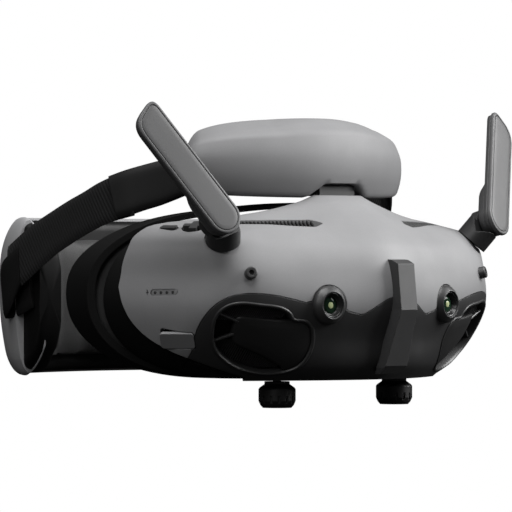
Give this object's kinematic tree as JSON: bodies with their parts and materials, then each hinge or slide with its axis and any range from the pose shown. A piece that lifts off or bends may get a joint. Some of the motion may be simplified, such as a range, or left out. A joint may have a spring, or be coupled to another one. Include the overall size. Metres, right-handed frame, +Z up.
{
  "type": "fpv goggles",
  "caption": "Video goggles with a rounded front body, fold-out antennas, face foam, a forehead pad and straps to a curved battery box behind the head.",
  "frame": {"origin": "middle of the plan view at the height of the two focus knobs' flat bottoms, which the goggles stand on", "axes": "+X to the wearer's left, +Y from the front cameras towards the back of the head, +Z up"},
  "size_m": [0.2036, 0.182, 0.1129],
  "materials": {
    "grey_shell": "satin moulded plastic",
    "lower_shell": "satin moulded plastic",
    "bar": "satin moulded plastic",
    "housing": "fine matt texture",
    "shield": "fine matt texture",
    "face_foam": "fabric-faced foam",
    "vent_black": "fine matt texture",
    "grille": "perforated, painted black",
    "camera_ring": "gloss",
    "camera_glass": "coated glass",
    "camera_core": "matt",
    "screw": "blackened",
    "steel": "brushed",
    "status_window": "frosted translucent",
    "button_black": "satin",
    "button_grey": "satin",
    "port_cover": "soft matt",
    "jack_black": "matt",
    "antenna_face": "satin",
    "antenna_back": "satin",
    "antenna_base": "satin",
    "frame_black": "matt",
    "display_glass": "polished",
    "lens_glass": "polished",
    "knob": "satin",
    "circuit_board": "solder mask",
    "heat_sink": "anodised",
    "fan": "matt",
    "bracket": "matt",
    "pad_shell": "satin moulded plastic",
    "pad_cushion": "soft grained",
    "sleeve": "smooth matt",
    "webbing": "ribbed elastic weave",
    "rear_shell": "satin moulded plastic",
    "rear_frame": "satin",
    "rear_cushion": "soft grained",
    "cell": "shrink wrapped"
  },
  "bodies": {
    "housing": {"audio_jack": "jack_black", "camera_bezels": "camera_ring", "camera_glasses": "camera_glass", "camera_modules": "camera_core", "centre_bar": "bar", "face_foam": "face_foam", "fan_housing": "fan", "front_cover_lower": "lower_shell", "front_cover_upper": "grey_shell", "front_screws": "screw", "guide_rails": "steel", "headband_bracket": "bracket", "heat_sink": "heat_sink", "hinge_pin": "steel", "inner_frame": "frame_black", "led_window": "status_window", "light_shield": "shield", "main_board": "circuit_board", "rear_housing": "housing", "top_vent_grilles": "vent_black", "usb_socket": "steel", "vent_blades": "vent_black", "vent_frames": "vent_black", "vent_grilles": "grille"},
    "fan_rotor": {"fan_rotor": "fan"},
    "nav_stem": {"nav_stem": "button_black"},
    "nav_gimbal": {"nav_gimbal": "button_black"},
    "nav_cap": {"nav_cap": "button_grey"},
    "back_button": {"back_button": "button_grey"},
    "power_button": {"power_button": "button_grey"},
    "port_cover": {"port_cover": "port_cover"},
    "antenna_base_left": {"antenna_base_left": "antenna_base", "antenna_pin_left": "steel"},
    "antenna_paddle_left": {"antenna_front_left": "antenna_face", "antenna_back_left": "antenna_back"},
    "eyepiece_left": {"eyepiece_carriage_left": "frame_black", "display_left": "display_glass"},
    "lens_left": {"lens_barrel_left": "frame_black", "eyepiece_lens_left": "lens_glass"},
    "focus_knob_left": {"focus_knob_left": "knob"},
    "antenna_base_right": {"antenna_base_right": "antenna_base", "antenna_pin_right": "steel"},
    "antenna_paddle_right": {"antenna_front_right": "antenna_face", "antenna_back_right": "antenna_back"},
    "eyepiece_right": {"eyepiece_carriage_right": "frame_black", "display_right": "display_glass"},
    "lens_right": {"lens_barrel_right": "frame_black", "eyepiece_lens_right": "lens_glass"},
    "focus_knob_right": {"focus_knob_right": "knob"},
    "headband": {"forehead_shell": "pad_shell", "forehead_cushion": "pad_cushion", "strap_sleeves": "sleeve", "strap_webbing": "webbing", "rear_shell": "rear_shell", "rear_frame": "rear_frame", "rear_cushion": "rear_cushion", "strap_bars": "steel", "battery_cells": "cell", "battery_board": "circuit_board"}
  },
  "joints": [
    {"name": "fan_spin", "type": "hinge", "parent": "housing", "child": "fan_rotor", "pos_m": [0, -0.0756, 0.042], "axis": [0, -1, 0], "continuous": true},
    {"name": "nav_press", "type": "slide", "parent": "housing", "child": "nav_stem", "axis": [0.2612, 0.1591, -0.9521], "range_m": [0, 0.0006], "stiffness_N_per_m": 400},
    {"name": "nav_tilt_across", "type": "hinge", "parent": "nav_stem", "child": "nav_gimbal", "pos_m": [-0.0684, -0.04613, 0.06565], "axis": [0.5201, -0.8541, 0], "range_deg": [-5, 5], "stiffness_Nm_per_rad": 0.02},
    {"name": "nav_tilt_along", "type": "hinge", "parent": "nav_gimbal", "child": "nav_cap", "pos_m": [-0.0684, -0.04613, 0.06565], "axis": [0.8132, 0.4952, 0.3058], "range_deg": [-5, 5], "stiffness_Nm_per_rad": 0.02},
    {"name": "back_press", "type": "slide", "parent": "housing", "child": "back_button", "axis": [0.3521, 0.0294, -0.9355], "range_m": [0, 0.0006], "stiffness_N_per_m": 400},
    {"name": "power_press", "type": "slide", "parent": "housing", "child": "power_button", "axis": [-0.937, 0.3046, -0.1708], "range_m": [0, 0.0005], "stiffness_N_per_m": 400},
    {"name": "port_cover_hinge", "type": "hinge", "parent": "housing", "child": "port_cover", "pos_m": [-0.08192, -0.04144, 0.02544], "axis": [0.4735, 0.279, -0.8354], "range_deg": [0, 100]},
    {"name": "antenna_swivel_left", "type": "hinge", "parent": "housing", "child": "antenna_base_left", "pos_m": [0.0693, -0.0617, 0.0652], "axis": [0.4548, -0.4548, 0.7657], "range_deg": [-20, 20]},
    {"name": "antenna_fold_left", "type": "hinge", "parent": "antenna_base_left", "child": "antenna_paddle_left", "pos_m": [0.0753, -0.0686, 0.072], "axis": [0.2369, -0.9208, 0.3099], "range_deg": [0, 100]},
    {"name": "eye_spacing_left", "type": "slide", "parent": "housing", "child": "eyepiece_left", "axis": [1, 0, 0], "range_m": [-0.004, 0.004]},
    {"name": "focus_turn_left", "type": "hinge", "parent": "eyepiece_left", "child": "focus_knob_left", "pos_m": [0.032, -0.0528, 0], "axis": [0, 0, 1], "range_deg": [-150, 150]},
    {"name": "focus_slide_left", "type": "slide", "parent": "eyepiece_left", "child": "lens_left", "axis": [0, 1, 0], "range_m": [-0.003, 0.003]},
    {"name": "antenna_swivel_right", "type": "hinge", "parent": "housing", "child": "antenna_base_right", "pos_m": [-0.0693, -0.0617, 0.0652], "axis": [0.4548, 0.4548, -0.7657], "range_deg": [-20, 20]},
    {"name": "antenna_fold_right", "type": "hinge", "parent": "antenna_base_right", "child": "antenna_paddle_right", "pos_m": [-0.0753, -0.0686, 0.072], "axis": [0.2369, 0.9208, -0.3099], "range_deg": [0, 100]},
    {"name": "eye_spacing_right", "type": "slide", "parent": "housing", "child": "eyepiece_right", "axis": [-1, 0, 0], "range_m": [-0.004, 0.004]},
    {"name": "focus_turn_right", "type": "hinge", "parent": "eyepiece_right", "child": "focus_knob_right", "pos_m": [-0.032, -0.0528, 0], "axis": [0, 0, 1], "range_deg": [-150, 150]},
    {"name": "focus_slide_right", "type": "slide", "parent": "eyepiece_right", "child": "lens_right", "axis": [0, 1, 0], "range_m": [-0.003, 0.003]},
    {"name": "headband_tilt", "type": "hinge", "parent": "housing", "child": "headband", "pos_m": [0, -0.0493, 0.0812], "axis": [1, 0, 0], "range_deg": [0, 12]}
  ],
  "couplings": [
    {"joint": "focus_turn_left", "follows": "focus_slide_left", "rad_per_m": 872},
    {"joint": "focus_turn_right", "follows": "focus_slide_right", "rad_per_m": 872}
  ]
}
